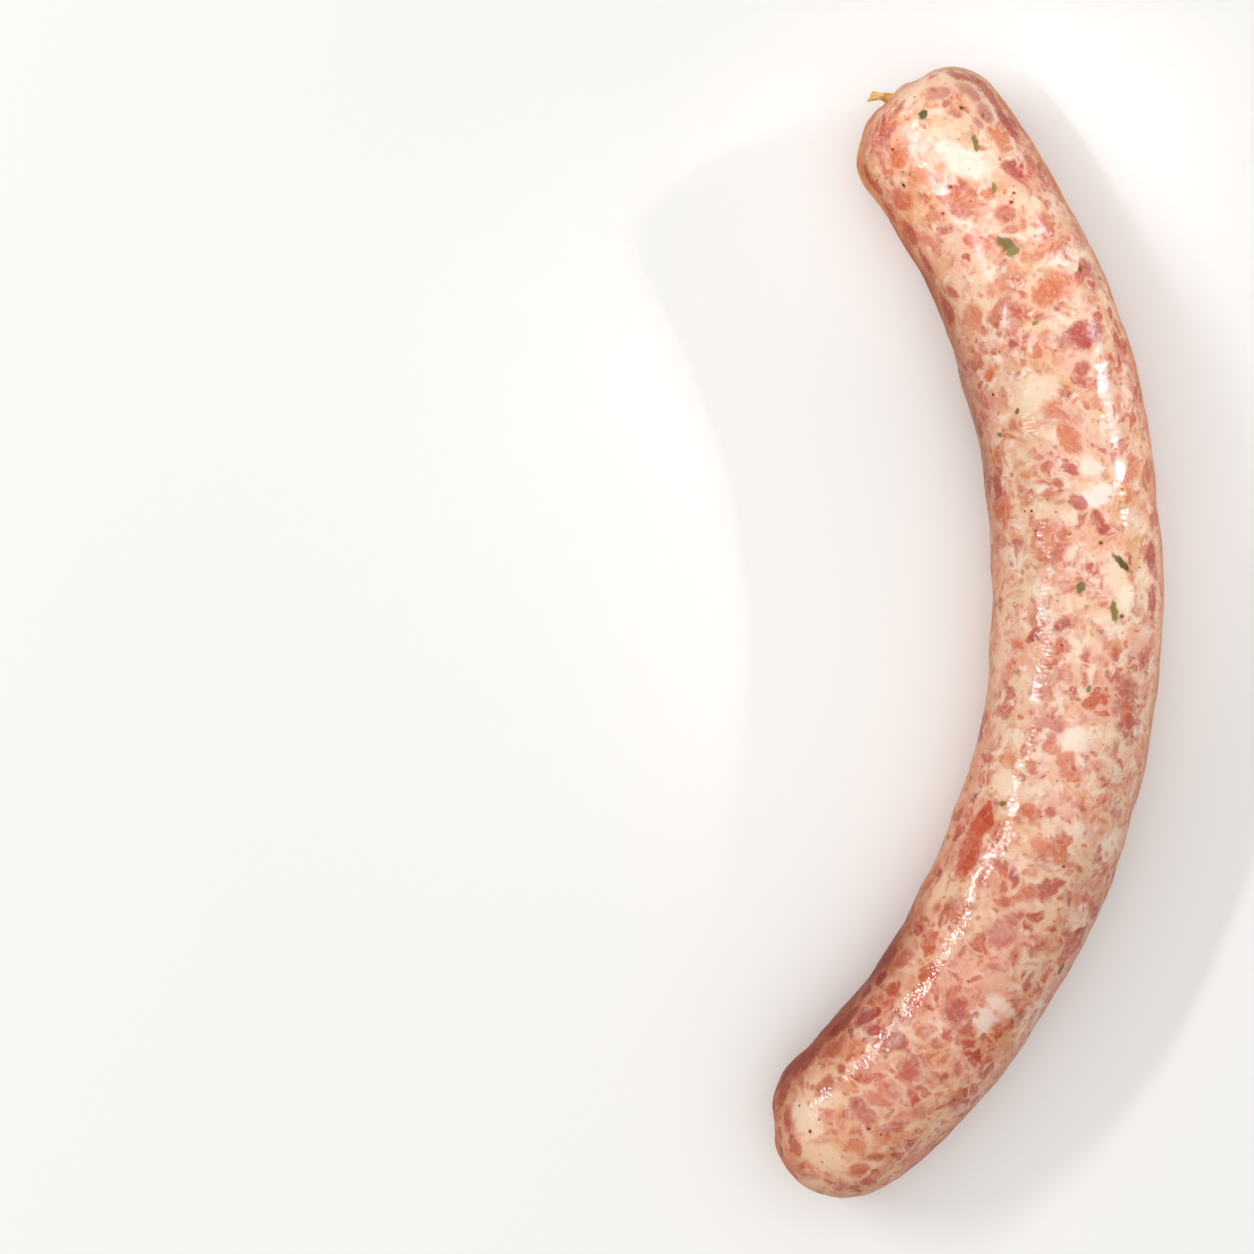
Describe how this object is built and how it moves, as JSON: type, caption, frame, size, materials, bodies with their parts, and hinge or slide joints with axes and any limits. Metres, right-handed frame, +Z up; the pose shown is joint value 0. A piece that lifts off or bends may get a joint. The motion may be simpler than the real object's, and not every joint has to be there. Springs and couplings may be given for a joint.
{
  "type": "raw sausage",
  "caption": "Raw coarse pork sausage in a natural casing, curved like a bow, lying flat, its ends gathered and twisted, with a short dried casing tail.",
  "frame": {"origin": "middle of the footprint, on the surface that the sausage lies on", "axes": "+Z up from the surface, +Y from the lower end to the end with the tail, +X towards the bow's bulging side"},
  "size_m": [0.0712, 0.2054, 0.0283],
  "materials": {
    "raw_pork_in_casing": "wet natural casing over coarse pink and cream pork, with herb flecks and pepper"
  },
  "bodies": {
    "root": {"sausage": "raw_pork_in_casing"}
  },
  "joints": []
}
